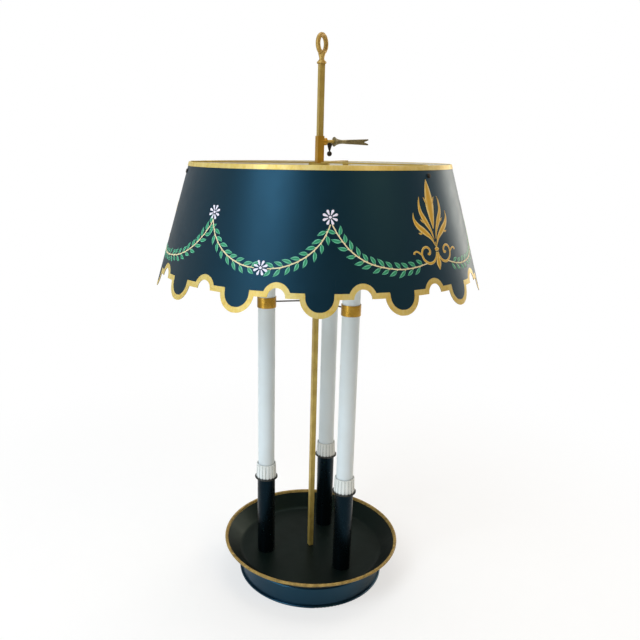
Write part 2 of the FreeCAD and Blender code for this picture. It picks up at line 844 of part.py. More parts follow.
def make_spider():
    thickness = size("arm_thickness")
    top = shade_height + size("arm_proud")
    under = top - thickness
    width = size("arm_width")
    hub_radius = size("spider_hub_radius")
    across = shade_sheet * root(1 + shade_slope * shade_slope)
    hub = new_body("spider_hub")
    hub_low = under - size("spider_hub_height")
    pad(hub, lambda sketch: (
        circle(sketch, hub_radius), square(sketch, size("slider_side") + 0.1)),
        size("spider_hub_height"), hub_low)
    place(hub, 0, 0, shade_level, about_z(rod_turn))

    inner_end = size("slider_side") * 0.7072 + 0.5
    tab_low = top - size("arm_tab")
    strip = thickness * root(1 + shade_slope * shade_slope)
    for index in range(arm_count):
        arm = new_body("spider_arm_%d" % (index + 1))
        clear = across + size("arm_gap")

        def tab_face(level):
            return shade_outside(level) - clear

        bend = shade_height - 0.5
        profile = new_sketch(arm, "XZ_Plane", "strip_outline")
        polygon(profile, [
            (inner_end, under), (tab_face(under) - strip, under),
            (tab_face(tab_low) - strip, tab_low), (tab_face(tab_low), tab_low),
            (tab_face(bend), bend), (tab_face(top) - 0.8, top), (inner_end, top)])
        solid = arm.newObject("PartDesign::Pad", "strip")
        solid.Profile = profile
        solid.setExpression("Length", width.text)
        solid.Midplane = True
        pocket(arm, lambda sketch: circle(
            sketch, size("shade_screw_radius") + size("arm_hole_gap"), 0, screw_level), "YZ_Plane",
            "screw_hole", reverse=True)
        place(arm, 0, 0, shade_level, about_z(arm_turn(index)))


def make_shade_fixings():
    """Round-head screws from outside and their nuts inside, square to the cone."""
    radius = size("shade_screw_radius").value
    head = size("shade_screw_head").value
    head_height = size("shade_screw_head_height").value
    wall = shade_sheet.value
    strip = size("arm_thickness").value
    gap = size("arm_gap").value
    nut_height = size("shade_nut_height").value
    length = wall + gap + strip + nut_height + 1.0
    seat = FreeCAD.Vector(shade_outside(screw_level).value, 0, (shade_level + screw_level).value)
    lean = FreeCAD.Rotation(FreeCAD.Vector(0, 1, 0), 90 - shade_lean)
    screws = []
    nuts = []
    for index in range(arm_count):
        shank = Part.makeCylinder(radius, length + head_height / 2, FreeCAD.Vector(0, 0, -length))
        cap = Part.makeCylinder(head, head_height, FreeCAD.Vector(0, 0, gap / 4))
        cap = cap.makeFillet(head_height * 0.7, [cap.Edges[0]])
        screw = shank.fuse(cap).removeSplitter()
        reach = size("shade_nut_width").value / 2 / math.cos(math.radians(30))
        corners = [FreeCAD.Vector(
            reach * math.cos(math.radians(60 * step)), reach * math.sin(math.radians(60 * step)), 0)
            for step in range(7)]
        nut = Part.Face(Part.makePolygon(corners)).extrude(FreeCAD.Vector(0, 0, nut_height))
        nut = nut.cut(Part.makeCylinder(radius + 0.05, nut_height))
        nut.translate(FreeCAD.Vector(0, 0, -wall - gap - strip - nut_height - 0.05))
        turn = about_z(arm_turn(index))
        for solid, group in ((screw, screws), (nut, nuts)):
            solid.Placement = FreeCAD.Placement(
                turn.multVec(seat), turn.multiply(lean)).multiply(solid.Placement)
            group.append(solid)
    for name, solids in (("shade_screws", screws), ("shade_nuts", nuts)):
        group = doc.addObject("Part::Feature", name)
        group.Label = name
        group.Shape = Part.makeCompound(solids)
        parts.append(group)


# Slider: a square tube on the rod with a boss for the clamping screw.

key_level = shade_height + size("slider_rise") - size("key_drop_below_top")


def make_slider():
    slider = new_body("slider")
    side = size("slider_side")
    inside = rod_side + size("slider_clearance") * 2
    top = shade_height + size("slider_rise")
    pad(slider, lambda sketch: square(sketch, side), size("slider_length"),
        top - size("slider_length"), "tube")
    boss = pad(slider, lambda sketch: circle(sketch, size("boss_radius"), 0, key_level),
               side / 2 + size("boss_reach"), name="boss", role="YZ_Plane")
    pocket(slider, lambda sketch: square(sketch, inside), "XY_Plane", "rod_way",
           reverse=True)
    pocket(slider, lambda sketch: circle(sketch, size("key_thread") + size("key_clearance"),
                                         0, key_level), "YZ_Plane", "screw_way", reverse=True)
    place(slider, 0, 0, shade_level, about_z(rod_turn))


def lay_key(part):
    """Lay a turned piece along the clamping screw's axis."""
    place(part, 0, 0, shade_level + key_level, about_z(rod_turn).multiply(about_y(90)))


def make_key():
    thread = size("key_thread")
    tip = rod_side / 2 + size("key_tip_gap")
    bell = size("bell_reach")
    screw_end = bell + size("arrow_socket")
    drop_reach = size("drop_reach")
    pin = size("drop_pin")
    screw = new_body("clamp_screw")
    revolve(screw, [
        (0, tip), (thread * 0.7, tip), (thread, tip + 0.6), (thread, screw_end), (0, screw_end)])
    pocket(screw, lambda sketch: circle(sketch, pin + 0.03, 0, drop_reach), "YZ_Plane",
           "cross_hole", reverse=True)
    lay_key(screw)

    arrow = new_body("arrow_key")
    end = bell + size("arrow_length")
    waist = size("arrow_waist")
    waist_at = bell + size("bell_length")
    wide = size("bell_radius")
    lip = size("bell_lip")
    reach = waist_at - bell
    bore = thread + 0.04
    thickness = size("arrow_thickness")
    revolve(arrow, [
        (bore, bell), (wide, bell), (wide, bell + lip), (wide * 0.76, bell + reach * 0.22),
        (wide * 0.58, bell + reach * 0.45), (wide * 0.46, bell + reach * 0.72), (waist, waist_at),
        (size("arrow_end_radius"), end), (0, end), (0, screw_end + 0.3), (bore, screw_end + 0.3)])
    side = size("arrow_end_radius") + 2
    for number, sign in ((1, 1), (2, -1)):
        pocket(arrow, lambda sketch: polygon(sketch, [
            (thickness / 2 * sign, end + 1), (side * sign, end + 1),
            (side * sign, waist_at + 1), ((waist + 0.4) * sign, waist_at + 1),
            (thickness / 2 * sign, waist_at + 9)]),
            "YZ_Plane", "flat_%d" % number, midplane=True)
    notch = size("tail_notch")
    pocket(arrow, lambda sketch: polygon(sketch, [
        (as_size(-2.6), end + 1), (as_size(-2.2), end), (as_size(0), end - notch),
        (as_size(2.2), end), (as_size(2.6), end + 1)]), "XZ_Plane", "tail_cut", midplane=True)
    lay_key(arrow)

    drop = new_body("key_drop")
    ball = size("drop_ball")
    cone_low = size("drop_cone") + 1.2
    ball_centre = cone_low + ball * 0.95
    bulge = [(ball * sine(as_size(angle)), ball_centre - ball * cosine(as_size(angle)))
             for angle in range(30, 180, 15)]
    revolve(drop, [(0, thread * 0.5), (pin, thread * 0.5), (pin, thread + 0.02),
                   (size("drop_top_radius") * 0.8, thread + 0.02),
                   (size("drop_top_radius"), thread + 1.0),
                   (size("drop_waist_radius"), cone_low)] + bulge + [(0, ball_centre + ball)])
    downwards = FreeCAD.Rotation(FreeCAD.Vector(1, 0, 0), 180)
    place(drop, drop_reach * cosine(rod_turn), drop_reach * sine(rod_turn),
          shade_level + key_level, downwards)


make_foot()
make_dish()
make_rod()
for candle in range(candle_count):
    make_candle(candle)
make_riser_fixings()
make_brace()
make_finial()
make_shade()
make_spider()
make_shade_fixings()
make_slider()
make_key()

doc.recompute()
for item in doc.Objects:
    if "Invalid" in item.State or "Error" in item.State:
        raise RuntimeError("%s failed to build" % item.Name)
for part in parts:
    if part.Shape.isNull() or not part.Shape.isValid():
        raise RuntimeError("%s has no good shape" % part.Label)

os.makedirs("parts", exist_ok=True)
for part in parts:
    part.Shape.exportStep("parts/%s.step" % part.Label)
    print("%-20s solids %d volume %.1f" % (part.Label, len(part.Shape.Solids), part.Shape.Volume))
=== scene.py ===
import json
import math

import bpy
from mathutils import Matrix, Vector


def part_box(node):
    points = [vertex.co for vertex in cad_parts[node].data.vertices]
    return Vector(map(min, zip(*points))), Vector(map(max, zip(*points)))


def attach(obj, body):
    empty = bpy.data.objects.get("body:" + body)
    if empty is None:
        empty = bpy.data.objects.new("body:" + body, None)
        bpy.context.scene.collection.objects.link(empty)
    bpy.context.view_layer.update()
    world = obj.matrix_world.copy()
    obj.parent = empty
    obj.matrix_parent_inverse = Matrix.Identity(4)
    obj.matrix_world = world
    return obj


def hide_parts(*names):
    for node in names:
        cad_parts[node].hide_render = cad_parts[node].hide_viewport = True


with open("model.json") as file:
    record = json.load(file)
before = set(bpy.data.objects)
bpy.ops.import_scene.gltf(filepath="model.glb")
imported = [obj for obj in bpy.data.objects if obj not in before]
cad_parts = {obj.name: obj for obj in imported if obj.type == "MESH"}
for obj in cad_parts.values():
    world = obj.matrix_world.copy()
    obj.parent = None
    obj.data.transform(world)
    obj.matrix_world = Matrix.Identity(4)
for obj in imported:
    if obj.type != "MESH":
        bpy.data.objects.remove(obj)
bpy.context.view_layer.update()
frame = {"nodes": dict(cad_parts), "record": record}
NODES = frame["nodes"]
MM = 0.001

# Camera: where the photographer stood, from a fit of the lamp's known circles.

CAMERA_PLACE = Vector((-29.8, -825.6, 577.8)) * MM
CAMERA_YAW = math.radians(-0.51)
CAMERA_DIP = math.radians(16.23)
CAMERA_ROLL = math.radians(0.64)
FOCAL_PIXELS = 651.6
FRAME_PIXELS = 640
FRAME_CENTRE = (286.9, 340.2)
SENSOR = 36.0
NEAREST_SEEN = 0.05


def aim_camera():
    """Set the camera at the fitted place, with the photo's lens and level."""
    forward = Vector((
        math.sin(CAMERA_YAW) * math.cos(CAMERA_DIP),
        math.cos(CAMERA_YAW) * math.cos(CAMERA_DIP),
        -math.sin(CAMERA_DIP)))
    level_right = Vector((math.cos(CAMERA_YAW), -math.sin(CAMERA_YAW), 0.0))
    level_up = level_right.cross(forward)
    right = math.cos(CAMERA_ROLL) * level_right + math.sin(CAMERA_ROLL) * level_up
    up = math.cos(CAMERA_ROLL) * level_up - math.sin(CAMERA_ROLL) * level_right
    turn = Matrix((right, up, -forward)).transposed()
    lens = bpy.data.cameras.new("photo_lens")
    lens.sensor_width = SENSOR
    lens.lens = FOCAL_PIXELS / FRAME_PIXELS * SENSOR
    middle = FRAME_PIXELS / 2
    lens.shift_x = (middle - FRAME_CENTRE[0]) / FRAME_PIXELS
    lens.shift_y = (FRAME_CENTRE[1] - middle) / FRAME_PIXELS
    lens.clip_start = NEAREST_SEEN
    camera = bpy.data.objects.new("photo_camera", lens)
    camera.matrix_world = Matrix.Translation(CAMERA_PLACE) @ turn.to_4x4()
    bpy.context.scene.collection.objects.link(camera)
    bpy.context.scene.camera = camera


# Shader helpers: effects that several finishes share are node groups.

def new_group(name, inputs, outputs):
    """An empty shader group with its sockets, and its two end nodes."""
    group = bpy.data.node_groups.new(name, "ShaderNodeTree")
    for side, sockets in (("INPUT", inputs), ("OUTPUT", outputs)):
        for label, kind in sockets:
            group.interface.new_socket(label, in_out=side, socket_type=kind)
    entry = group.nodes.new("NodeGroupInput")
    leave = group.nodes.new("NodeGroupOutput")
    return group, entry, leave


def add_node(tree, kind, **settings):
    """A node with some of its settings changed."""
    node = tree.nodes.new(kind)
    for name, value in settings.items():
        setattr(node, name, value)
    return node


def noise(tree, vector, scale, detail=4.0, roughness=0.55):
    """Soft noise at a scale that is a number or a socket."""
    node = add_node(tree, "ShaderNodeTexNoise")
    node.inputs["Detail"].default_value = detail
    node.inputs["Roughness"].default_value = roughness
    tree.links.new(vector, node.inputs["Vector"])
    feed(tree, node.inputs["Scale"], scale)
    return node


def feed(tree, socket, value):
    """Link a socket, or set a plain value on it."""
    if isinstance(value, bpy.types.NodeSocket):
        tree.links.new(value, socket)
    else:
        socket.default_value = value


def maths(tree, operation, first, second, clamp=False):
    """One sum of two numbers or sockets."""
    node = add_node(tree, "ShaderNodeMath", operation=operation, use_clamp=clamp)
    feed(tree, node.inputs[0], first)
    feed(tree, node.inputs[1], second)
    return node.outputs[0]


def ramp(tree, value, low, high, to_low=0.0, to_high=1.0, smooth=True):
    """Stretch the range from low to high over another range, and hold it there."""
    node = add_node(tree, "ShaderNodeMapRange")
    node.interpolation_type = "SMOOTHSTEP" if smooth else "LINEAR"
    feed(tree, node.inputs["Value"], value)
    feed(tree, node.inputs["From Min"], low)
    feed(tree, node.inputs["From Max"], high)
    feed(tree, node.inputs["To Min"], to_low)
    feed(tree, node.inputs["To Max"], to_high)
    return node.outputs["Result"]


def blend_colour(tree, mask, first, second):
    """The first colour where the mask is 0, the second where it is 1."""
    node = add_node(tree, "ShaderNodeMix", data_type="RGBA")
    feed(tree, node.inputs["Factor"], mask)
    feed(tree, node.inputs[6], first)
    feed(tree, node.inputs[7], second)
    return node.outputs[2]


def colour_of(colour):
    """A colour written as an sRGB triple out of 255, for a colour socket."""
    linear = []
    for part in colour:
        part = part / 255
        linear.append(part / 12.92 if part <= 0.04045 else ((part + 0.055) / 1.055) ** 2.4)
    return (*linear, 1.0)


NOISE_MIDDLE = 0.5
SWELL_SHARE = 0.13
LINE_BAND = (0.35, 0.65)
CHIP_EDGE = 0.02


def make_age_patches():
    """Cloudy patches, from handling and old polish, as a mask from 0 to 1."""
    group, entry, leave = new_group(
        "age_patches",
        [("Vector", "NodeSocketVector"), ("Scale", "NodeSocketFloat"), ("Spread", "NodeSocketFloat")],
        [("Mask", "NodeSocketFloat")])
    broad = noise(group, entry.outputs["Vector"], entry.outputs["Scale"], detail=5.0, roughness=0.6)
    low = maths(group, "SUBTRACT", NOISE_MIDDLE, entry.outputs["Spread"])
    high = maths(group, "ADD", NOISE_MIDDLE, entry.outputs["Spread"])
    group.links.new(ramp(group, broad.outputs["Fac"], low, high), leave.inputs["Mask"])
    return group


def make_fine_grain():
    """Orange peel and dust under a finish, as a height."""
    group, entry, leave = new_group(
        "fine_grain",
        [("Vector", "NodeSocketVector"), ("Scale", "NodeSocketFloat")],
        [("Height", "NodeSocketFloat")])
    small = noise(group, entry.outputs["Vector"], entry.outputs["Scale"], detail=3.0, roughness=0.6)
    swell_scale = maths(group, "MULTIPLY", entry.outputs["Scale"], SWELL_SHARE)
    swell = noise(group, entry.outputs["Vector"], swell_scale, detail=2.0, roughness=0.5)
    total = maths(group, "ADD", small.outputs["Fac"], swell.outputs["Fac"])
    group.links.new(total, leave.inputs["Height"])
    return group


def make_drawn_lines():
    """Long fine lines from drawing or brushing, stretched along one axis."""
    group, entry, leave = new_group(
        "drawn_lines",
        [("Vector", "NodeSocketVector"), ("Stretch", "NodeSocketVector"), ("Scale", "NodeSocketFloat")],
        [("Height", "NodeSocketFloat"), ("Mask", "NodeSocketFloat")])
    stretched = add_node(group, "ShaderNodeVectorMath", operation="MULTIPLY")
    group.links.new(entry.outputs["Vector"], stretched.inputs[0])
    group.links.new(entry.outputs["Stretch"], stretched.inputs[1])
    lines = noise(group, stretched.outputs[0], entry.outputs["Scale"], detail=2.0, roughness=0.5)
    group.links.new(lines.outputs["Fac"], leave.inputs["Height"])
    group.links.new(ramp(group, lines.outputs["Fac"], *LINE_BAND), leave.inputs["Mask"])
    return group


def make_small_chips():
    """Small knocks and specks where a finish has come away, as a mask."""
    group, entry, leave = new_group(
        "small_chips",
        [("Vector", "NodeSocketVector"), ("Scale", "NodeSocketFloat"), ("Share", "NodeSocketFloat")],
        [("Mask", "NodeSocketFloat")])
    spots = noise(group, entry.outputs["Vector"], entry.outputs["Scale"], detail=6.0, roughness=0.7)
    edge = maths(group, "SUBTRACT", 1.0, entry.outputs["Share"])
    soft_edge = maths(group, "ADD", edge, CHIP_EDGE)
    group.links.new(ramp(group, spots.outputs["Fac"], edge, soft_edge), leave.inputs["Mask"])
    return group


GROUPS = {
    "age": make_age_patches(),
    "grain": make_fine_grain(),
    "lines": make_drawn_lines(),
    "chips": make_small_chips(),
}


def place_group(tree, which, vector, **values):
    """Use one of the groups in a finish, with plain values on its sockets."""
    node = tree.nodes.new("ShaderNodeGroup")
    node.node_tree = GROUPS[which]
    tree.links.new(vector, node.inputs["Vector"])
    for name, value in values.items():
        node.inputs[name.replace("_", " ").title()].default_value = value
    return node


# Painted shade in grooves and corners: the number of occlusion samples, where the occlusion starts and
# where it is full.
GROOVE_SAMPLES = 8
GROOVE_OPEN = 0.95
GROOVE_DEEP = 0.45
COAT_ROUGHNESS = 0.15


class Finish:
    """One procedural material: a Principled surface and the masks that feed it."""

    def __init__(self, name, metallic=0.0, coat=0.0, specular=0.5):
        self.material = bpy.data.materials.new(name)
        self.material.use_nodes = True
        self.tree = self.material.node_tree
        self.surface = self.tree.nodes["Principled BSDF"]
        self.surface.inputs["Metallic"].default_value = metallic
        self.surface.inputs["Coat Weight"].default_value = coat
        self.surface.inputs["Coat Roughness"].default_value = COAT_ROUGHNESS
        self.surface.inputs["Specular IOR Level"].default_value = specular
        self.where = add_node(self.tree, "ShaderNodeTexCoord").outputs["Object"]
        self.heights = []

    def age(self, scale, spread):
        return place_group(self.tree, "age", self.where, scale=scale, spread=spread).outputs["Mask"]

    def chips(self, scale, share):
        return place_group(self.tree, "chips", self.where, scale=scale, share=share).outputs["Mask"]

    def lines(self, stretch, scale, depth):
        node = place_group(self.tree, "lines", self.where, stretch=stretch, scale=scale)
        self.heights.append((node.outputs["Height"], depth))
        return node.outputs["Mask"]

    def grain(self, scale, depth):
        node = place_group(self.tree, "grain", self.where, scale=scale)
        self.heights.append((node.outputs["Height"], depth))

    def colour(self, value):
        feed(self.tree, self.surface.inputs["Base Color"], value)

    def roughness(self, mask, low, high):
        spread = ramp(self.tree, mask, 0.0, 1.0, low, high, smooth=False)
        feed(self.tree, self.surface.inputs["Roughness"], spread)

    def grooves(self, reach):
        """A painted-shade mask: 1 down in grooves and corners closer together than the reach, where
        shade falls.
        """
        corner = add_node(self.tree, "ShaderNodeAmbientOcclusion", samples=GROOVE_SAMPLES)
        corner.inputs["Distance"].default_value = reach
        return ramp(self.tree, corner.outputs["AO"], GROOVE_OPEN, GROOVE_DEEP)

    def mix(self, mask, first, second):
        return blend_colour(self.tree, mask, first, second)

    def height_above(self, low, high):
        """A mask that goes from 0 to 1 between two levels above the table."""
        parts = add_node(self.tree, "ShaderNodeSeparateXYZ")
        self.tree.links.new(self.where, parts.inputs[0])
        return ramp(self.tree, parts.outputs["Z"], low, high)

    def ready(self):
        """Stack the bumps on one another and give back the material."""
        normal = None
        for height, depth in self.heights:
            bump = add_node(self.tree, "ShaderNodeBump")
            bump.inputs["Distance"].default_value = depth
            bump.inputs["Strength"].default_value = 1.0
            self.tree.links.new(height, bump.inputs["Height"])
            if normal is not None:
                self.tree.links.new(normal, bump.inputs["Normal"])
            normal = bump.outputs["Normal"]
        if normal is not None:
            self.tree.links.new(normal, self.surface.inputs["Normal"])
        return self.material


# Finishes, after what the lamp's surfaces show.

TOLE_COLOUR = colour_of((6, 27, 37))
TOLE_DULL = colour_of((11, 29, 35))
TOLE_BLACK = colour_of((5, 9, 11))
RUST_BROWN = colour_of((66, 48, 34))
DUST_GREY = colour_of((110, 104, 88))
OLD_GILT = colour_of((176, 146, 84))
WORN_GILT = colour_of((122, 100, 56))
GILT_EDGE = 0.2 * MM
BLUE_SHEEN = (0.18, 0.58, 0.95, 1.0)
GREEN_SHEEN = (0.6, 0.9, 0.72, 1.0)
GILT_STREAK = colour_of((230, 212, 156))
FELT_DARK = colour_of((26, 60, 40))
FELT_PALE = colour_of((44, 86, 60))
FELT_FUZZ = 0.4
# How far each axis of the noise is drawn out, which sets the way the lines run.
UP_AND_DOWN = (0.03, 0.03, 1.0)
ROUND_ABOUT = (1.0, 1.0, 0.02)
ALL_WAYS = (1.0, 1.0, 1.0)
# How much of a mask shows.
GILT_STREAKS = 0.3
BRASS_STREAKS = 0.25
DUST_SHARE = 0.34
BRUSH_EDGE = (0.3, 0.95)
BRUSH_EDGE_LEAST = 0.45


def tole_enamel(name, base=TOLE_COLOUR, dull=TOLE_DULL, gilt_from=None, dusty=0.0,
                roughness=(0.4, 0.46), specular=0.7, chip_share=0.24, sheen=BLUE_SHEEN):
    """Very dark blue-green stoving enamel, satin, with dust, rubs and a few chips."""
    finish = Finish(name, specular=specular)
    finish.surface.inputs["Specular Tint"].default_value = sheen
    clouds = finish.age(scale=9.0, spread=0.3)
    rubs = finish.age(scale=60.0, spread=0.3)
    colour = finish.mix(clouds, base, dull)
    chipped = finish.chips(scale=210.0, share=chip_share)
    colour = finish.mix(chipped, colour, RUST_BROWN)
    if dusty:
        dust = finish.chips(scale=900.0, share=DUST_SHARE)
        dust = maths(finish.tree, "MULTIPLY", dust, dusty)
        colour = finish.mix(dust, colour, DUST_GREY)
    if gilt_from is not None:
        gilt = finish.height_above(gilt_from, gilt_from + GILT_EDGE)
        worn = finish.age(scale=200.0, spread=0.25)
        leaf = finish.mix(worn, OLD_GILT, WORN_GILT)
        colour = finish.mix(gilt, colour, leaf)
    finish.colour(colour)
    finish.roughness(rubs, *roughness)
    finish.grain(scale=700.0, depth=0.000012)
    return finish.ready()


def gilt_paint(name, pale=(230, 210, 130), deep=(204, 168, 62)):
    """Bronze powder paint: a little sparkle, brushed on by hand and rubbed."""
    finish = Finish(name, metallic=0.35, specular=0.5)
    strokes = finish.lines(stretch=(1.0, 1.0, 0.35), scale=420.0, depth=0.00002)
    patches = finish.age(scale=50.0, spread=0.35)
    colour = finish.mix(patches, colour_of(pale), colour_of(deep))
    streaks = maths(finish.tree, "MULTIPLY", strokes, GILT_STREAKS)
    colour = finish.mix(streaks, colour, GILT_STREAK)
    finish.colour(colour)
    finish.roughness(patches, 0.38, 0.55)
    finish.grain(scale=2600.0, depth=0.00002)
    return finish.ready()


def aged_brass(name, bright, dark, roughness=(0.28, 0.5), stretch=ROUND_ABOUT, metallic=1.0,
               line_depth=0.000006):
    """Lacquered brass gone dull in patches, with the lines it was drawn or brushed with."""
    finish = Finish(name, metallic=metallic)
    lines = finish.lines(stretch, scale=1800.0, depth=line_depth)
    patches = finish.age(scale=45.0, spread=0.3)
    colour = finish.mix(patches, colour_of(bright), colour_of(dark))
    streaks = maths(finish.tree, "MULTIPLY", lines, BRASS_STREAKS)
    colour = finish.mix(streaks, colour, colour_of(dark))
    finish.colour(colour)
    finish.roughness(patches, *roughness)
    return finish.ready()


def plain_coat(name, first, second, roughness, coat=0.0, metallic=0.0, scale=60.0, grain=900.0,
               depth=0.00002, grooves=None):
    """A smooth finish with cloudy variation, and painted shade of a colour of its own down in any
    grooves.
    """
    finish = Finish(name, metallic=metallic, coat=coat)
    clouds = finish.age(scale, spread=0.35)
    colour = finish.mix(clouds, colour_of(first), colour_of(second))
    if grooves is not None:
        # Painted shade: a darker colour laid into grooves and corners where the occlusion is deep.
        reach, groove_shade_colour = grooves
        colour = finish.mix(finish.grooves(reach), colour, colour_of(groove_shade_colour))
    finish.colour(colour)
    finish.roughness(clouds, *roughness)
    finish.grain(grain, depth)
    return finish.ready()


def felt_cloth(name):
    """Green baize under the foot, fuzzy and flecked."""
    finish = Finish(name, specular=0.2)
    fibres = finish.lines(stretch=(1.0, 0.4, 1.0), scale=1400.0, depth=0.0003)
    finish.colour(finish.mix(fibres, FELT_DARK, FELT_PALE))
    finish.roughness(fibres, 0.85, 0.98)
    finish.surface.inputs["Sheen Weight"].default_value = FELT_FUZZ
    return finish.ready()


def brushwork(name, body, edge, roughness=(0.4, 0.55), metallic=0.0):
    """Hand-laid paint of the ornament: paler where the brush left an edge."""
    finish = Finish(name, metallic=metallic)
    across = add_node(finish.tree, "ShaderNodeAttribute", attribute_name="across")
    patches = finish.age(scale=260.0, spread=0.3)
    rim = ramp(finish.tree, across.outputs["Fac"], *BRUSH_EDGE)
    uneven = maths(finish.tree, "ADD", BRUSH_EDGE_LEAST, patches)
    rim = maths(finish.tree, "MULTIPLY", rim, uneven, clamp=True)
    finish.colour(finish.mix(rim, colour_of(body), colour_of(edge)))
    finish.roughness(patches, *roughness)
    finish.grain(scale=1600.0, depth=0.00003)
    return finish.ready()


DISH_GILT_FROM = 47.9 * MM

FINISHES = {
    "dark_tole": tole_enamel(
        "tole_cups", TOLE_BLACK, colour_of((4, 7, 7)), dusty=0.05, roughness=(0.24, 0.32),
        specular=0.22, chip_share=0.2),
    "dish_tole": tole_enamel(
        "tole_dish", colour_of((10, 19, 17)), colour_of((6, 11, 10)), DISH_GILT_FROM, dusty=0.3,
        roughness=(0.34, 0.46), specular=0.14, sheen=GREEN_SHEEN),
    "foot_tole": tole_enamel(
        "tole_foot", colour_of((9, 31, 43)), colour_of((10, 22, 28)), dusty=0.1,
        roughness=(0.28, 0.36), specular=1.0),
    "shade_tole": tole_enamel("tole_shade", chip_share=0.26),
    "shade_inside": plain_coat("shade_lining", (226, 220, 204), (206, 198, 178), (0.6, 0.75)),
    "cut_edge": plain_coat("cut_edge", (44, 36, 26), (90, 70, 40), (0.5, 0.7)),
    "gilt_paint": gilt_paint("gilt_trim"),
    "candle_white": plain_coat(
        "candle_card", (214, 224, 229), (208, 216, 218), (0.42, 0.5), coat=0.08, scale=12.0,
        depth=0.000008),
    # The collar's flutes get dark grey painted into their grooves: painted shade.
    "collar_white": plain_coat(
        "collar_glaze", (230, 235, 234), (220, 223, 219), (0.28, 0.42), coat=0.2, scale=30.0,
        grooves=(0.0026, (56, 60, 58))),
    "drip_metal": plain_coat("drip_metal", (88, 88, 84), (48, 46, 42), (0.35, 0.5), metallic=0.9),
    "band_brass": aged_brass(
        "band_brass", (196, 156, 66), (146, 108, 28), (0.2, 0.32), UP_AND_DOWN, metallic=0.85),
    "blackened_wire": plain_coat(
        "blackened_wire", (36, 32, 28), (70, 58, 42), (0.4, 0.6), metallic=0.6),
    "rod_brass": aged_brass("rod_brass", (208, 182, 100), (166, 138, 66), (0.34, 0.46), metallic=0.5),
    "finial_brass": aged_brass(
        "finial_brass", (198, 164, 88), (164, 130, 62), (0.46, 0.58), ALL_WAYS, metallic=0.5,
        line_depth=0.000001),
    "slider_brass": aged_brass(
        "slider_brass", (204, 156, 50), (176, 130, 34), (0.36, 0.46), metallic=0.5),
    "aged_bronze": aged_brass(
        "aged_bronze", (172, 158, 116), (112, 100, 66), (0.4, 0.55), metallic=0.6),
    "dark_bronze": plain_coat("dark_bronze", (34, 31, 28), (58, 50, 40), (0.3, 0.5), metallic=0.7),
    "phenolic": plain_coat("socket_moulding", (34, 28, 24), (52, 42, 34), (0.3, 0.45)),
    "shell_brass": aged_brass("shell_brass", (206, 170, 90), (160, 124, 58)),
    "ballast_iron": plain_coat("ballast_iron", (60, 58, 56), (92, 74, 58), (0.7, 0.9), depth=0.0002),
    "green_felt": felt_cloth("green_felt"),
    "rubber_black": plain_coat("rubber_black", (28, 28, 28), (44, 42, 40), (0.6, 0.8)),
    "zinc_steel": plain_coat(
        "zinc_steel", (170, 172, 172), (130, 130, 126), (0.35, 0.5), metallic=1.0),
    "leaf_green": brushwork("leaf_green", (30, 134, 92), (112, 202, 164)),
    "stem_cream": brushwork("stem_cream", (224, 208, 158), (240, 228, 190)),
    "petal_white": brushwork("petal_white", (226, 218, 236), (246, 242, 250)),
    "ornament_gold": brushwork("ornament_gold", (210, 160, 36), (240, 216, 138), metallic=0.1),
}
OWN_FINISH = {
    "dish": "dish_tole",
    "foot_skirt": "foot_tole",
    "finial_cap": "finial_brass",
    "finial_loop": "finial_brass",
    "slider": "slider_brass",
}


def dress_nodes():
    """Every CAD node gets its own finish, or else the finish of its material slot."""
    slots = {row["node"]: row["material_slot"] for row in frame["record"]["subparts"]}
    for name, node in NODES.items():
        finish = FINISHES[OWN_FINISH.get(name, slots[name])]
        if not node.material_slots:
            node.data.materials.append(finish)
        for slot in node.material_slots:
            slot.material = finish


# Shade: the cone with its scalloped hem, a gilt trim along the hem, a lining.

SHADE_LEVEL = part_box("shade_wall")[0].z / MM
SHADE_HEIGHT = 145.9
SHADE_TOP = 157.2
SHADE_FOOT = 201.3
SHADE_SHEET = 0.6
SHADE_SLOPE = (SHADE_FOOT - SHADE_TOP) / SHADE_HEIGHT
SHADE_LEAN = math.atan(SHADE_SLOPE)
PHOTO_SIDE = -90.0
RIM_CAP = 0.5
# Scallops: lobes with a flat step on each side, and a half-round notch between the steps.
LOBES = 14
HALF_PITCH = 180.0 / LOBES
FIRST_NOTCH = 37.57
STEP = 18.0
LOBE_HALF = 20.3
LOBE_FLAT = 0.15
NOTCH = 9.6
TRIM = 5.7
ARC_STEPS = 10
FLAT_STEPS = 4
RINGS = (38.0, 62.0, 90.0, 118.0, SHADE_HEIGHT - RIM_CAP)
OUTSIDE, TRIM_PAINT, LINING, CUT_EDGE = range(4)
SHARP_ANGLE = math.radians(40)


def cone_radius(level):
    """Outside radius of the shade at a height over the tips of its lobes."""
    return SHADE_FOOT - SHADE_SLOPE * level


def on_cone(degrees, level, lift=0.0):
    """A point on the shade; 0 degrees faces the photographer, + goes right."""
    angle = math.radians(PHOTO_SIDE + degrees)
    radius = cone_radius(level) + lift * math.cos(SHADE_LEAN)
    height = SHADE_LEVEL + level + lift * math.sin(SHADE_LEAN)
    return Vector((radius * math.cos(angle), radius * math.sin(angle), height)) * MM


def arc(centre, radius, start, end, count):
    """Points along an arc; the angles are in degrees."""
    points = []
    for index in range(count + 1):
        angle = math.radians(start + (end - start) * index / count)
        points.append((centre[0] + radius * math.cos(angle), centre[1] + radius * math.sin(angle)))
    return points


